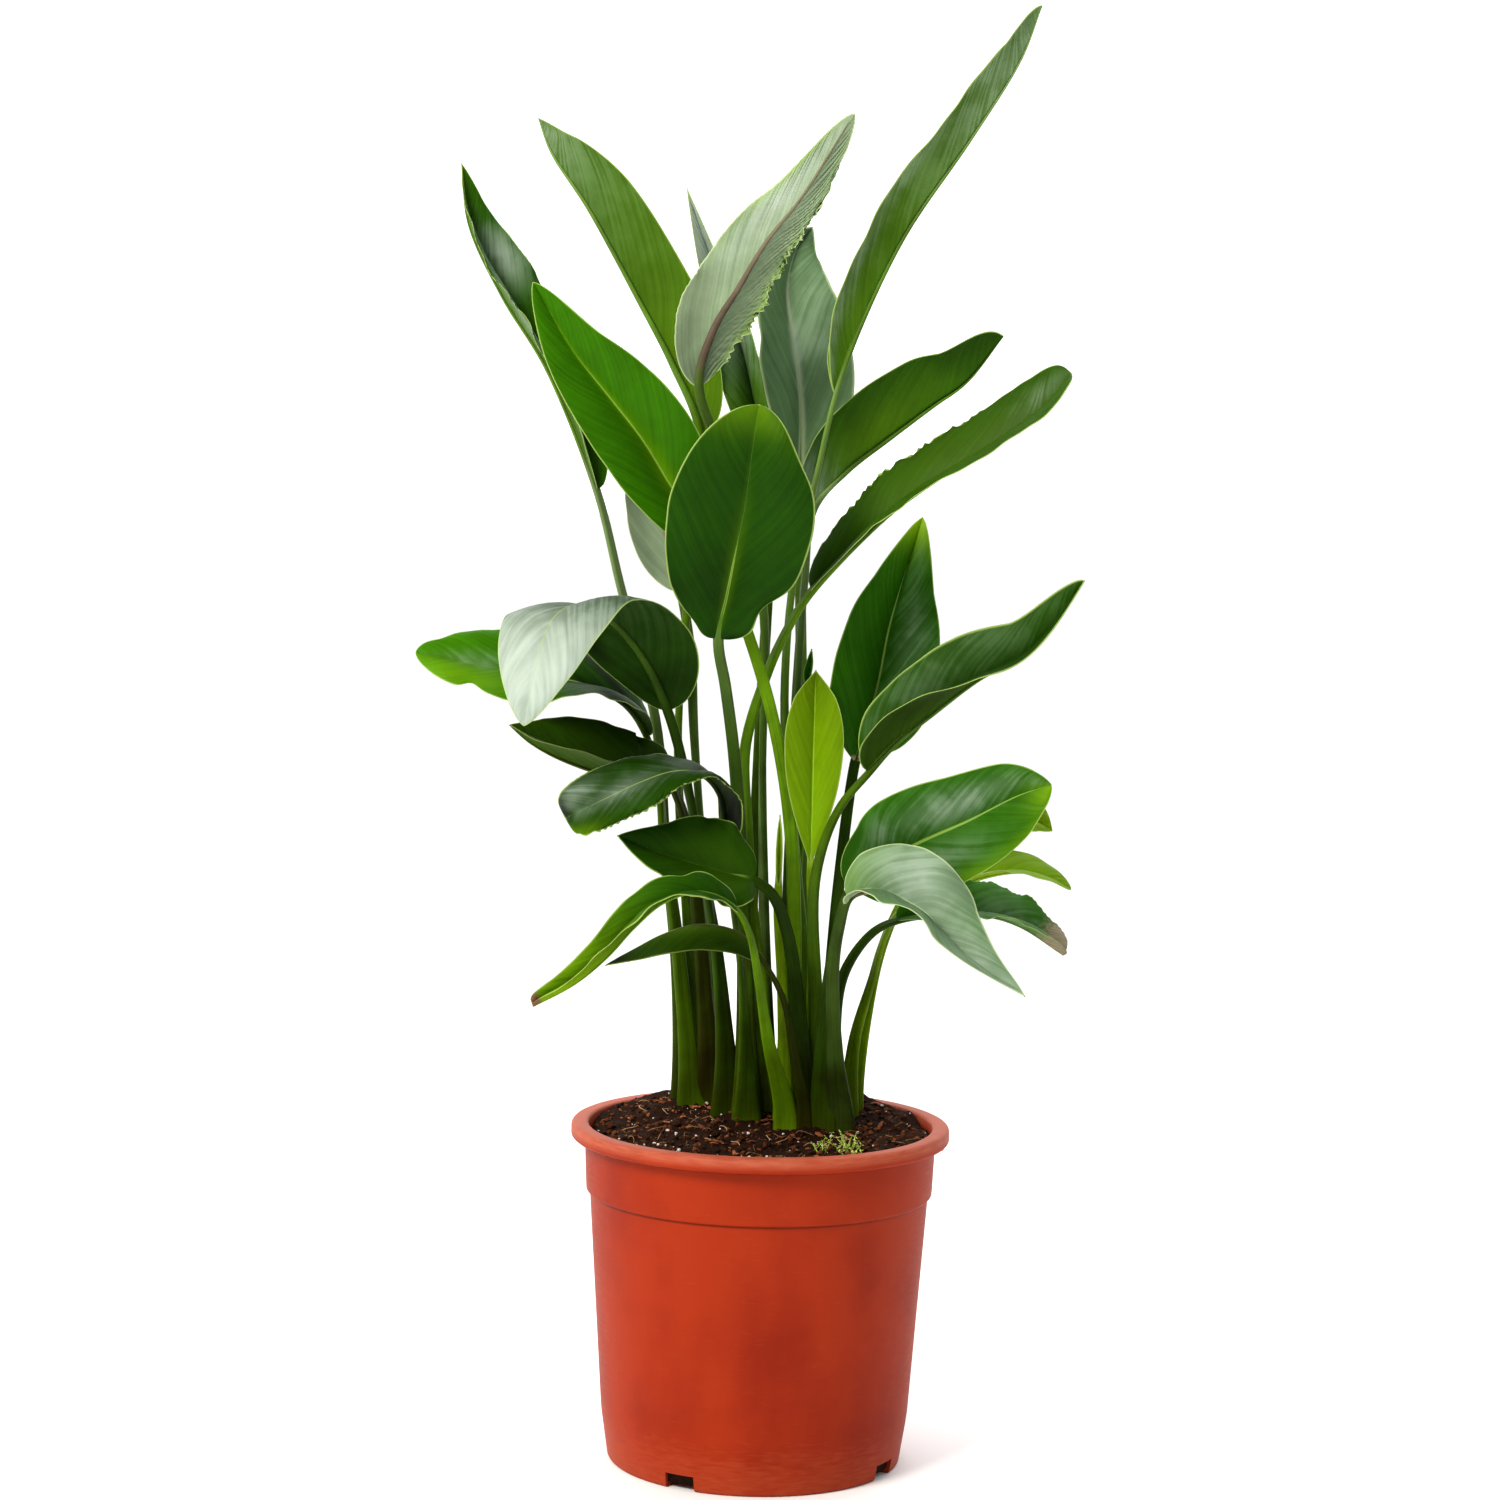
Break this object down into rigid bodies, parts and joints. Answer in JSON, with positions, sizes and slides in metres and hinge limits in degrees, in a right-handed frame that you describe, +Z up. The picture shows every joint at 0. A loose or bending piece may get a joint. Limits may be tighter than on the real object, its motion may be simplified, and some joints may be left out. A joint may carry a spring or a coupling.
{
  "type": "potted bird of paradise plant",
  "caption": "Leafy bird of paradise house plant with paddle-shaped leaves on long stalks, standing in soil in a round plastic nursery pot, for dressing rooms and shop displays.",
  "frame": {"origin": "centre of the pot's flat foot, where it stands on the floor", "axes": "+Z up the plant, -Y towards the viewer of the picture, +X to the viewer's right"},
  "size_m": [0.4235, 0.2743, 0.9213],
  "materials": {
    "pot_plastic": "matt moulded terracotta-orange plastic, a little scuffed and water-stained",
    "peat": "dark moist peat with bark chips and white perlite grains",
    "root_flesh": "pale fleshy crown and roots",
    "leaf_deep": "deep green leathery leaf with a waxy sheen",
    "leaf_mid": "mid-green leathery leaf",
    "leaf_bright": "bright green leathery leaf",
    "leaf_lime": "young yellow-green leaf",
    "leaf_blue": "grey-green leaf with a waxy bloom",
    "leaf_olive": "dark olive older leaf"
  },
  "bodies": {
    "root": {"pot": "pot_plastic", "soil": "peat", "crown_and_roots": "root_flesh", "leaf_01_outer_left": "leaf_mid", "leaf_02_upper_left": "leaf_mid", "leaf_03_back_narrow": "leaf_mid", "leaf_04_grey_toothed": "leaf_blue", "leaf_05_bright_left": "leaf_bright", "leaf_06_centre_oval": "leaf_deep", "leaf_07_tallest": "leaf_mid", "leaf_08_back_blue": "leaf_blue", "leaf_09_right_folded": "leaf_deep", "leaf_10_right_torn": "leaf_mid", "leaf_11_right_upright": "leaf_deep", "leaf_12_right_boat": "leaf_mid", "leaf_13_young_lime": "leaf_lime", "leaf_14_low_right_glossy": "leaf_deep", "leaf_15_drooping_front": "leaf_blue", "leaf_16_dry_tip": "leaf_deep", "leaf_17_right_green": "leaf_lime", "leaf_18_right_back": "leaf_lime", "leaf_19_big_arch": "leaf_deep", "leaf_20_far_left_tip": "leaf_bright", "leaf_21_left_boat": "leaf_olive", "leaf_22_black_edged_arch": "leaf_mid", "leaf_23_dark_left": "leaf_deep", "leaf_24_bright_droop": "leaf_bright", "leaf_25_olive_thin": "leaf_olive", "leaf_26_grey_behind": "leaf_blue", "leaf_27_spear": "leaf_lime", "leaf_28_back_spear": "leaf_bright"}
  },
  "joints": []
}
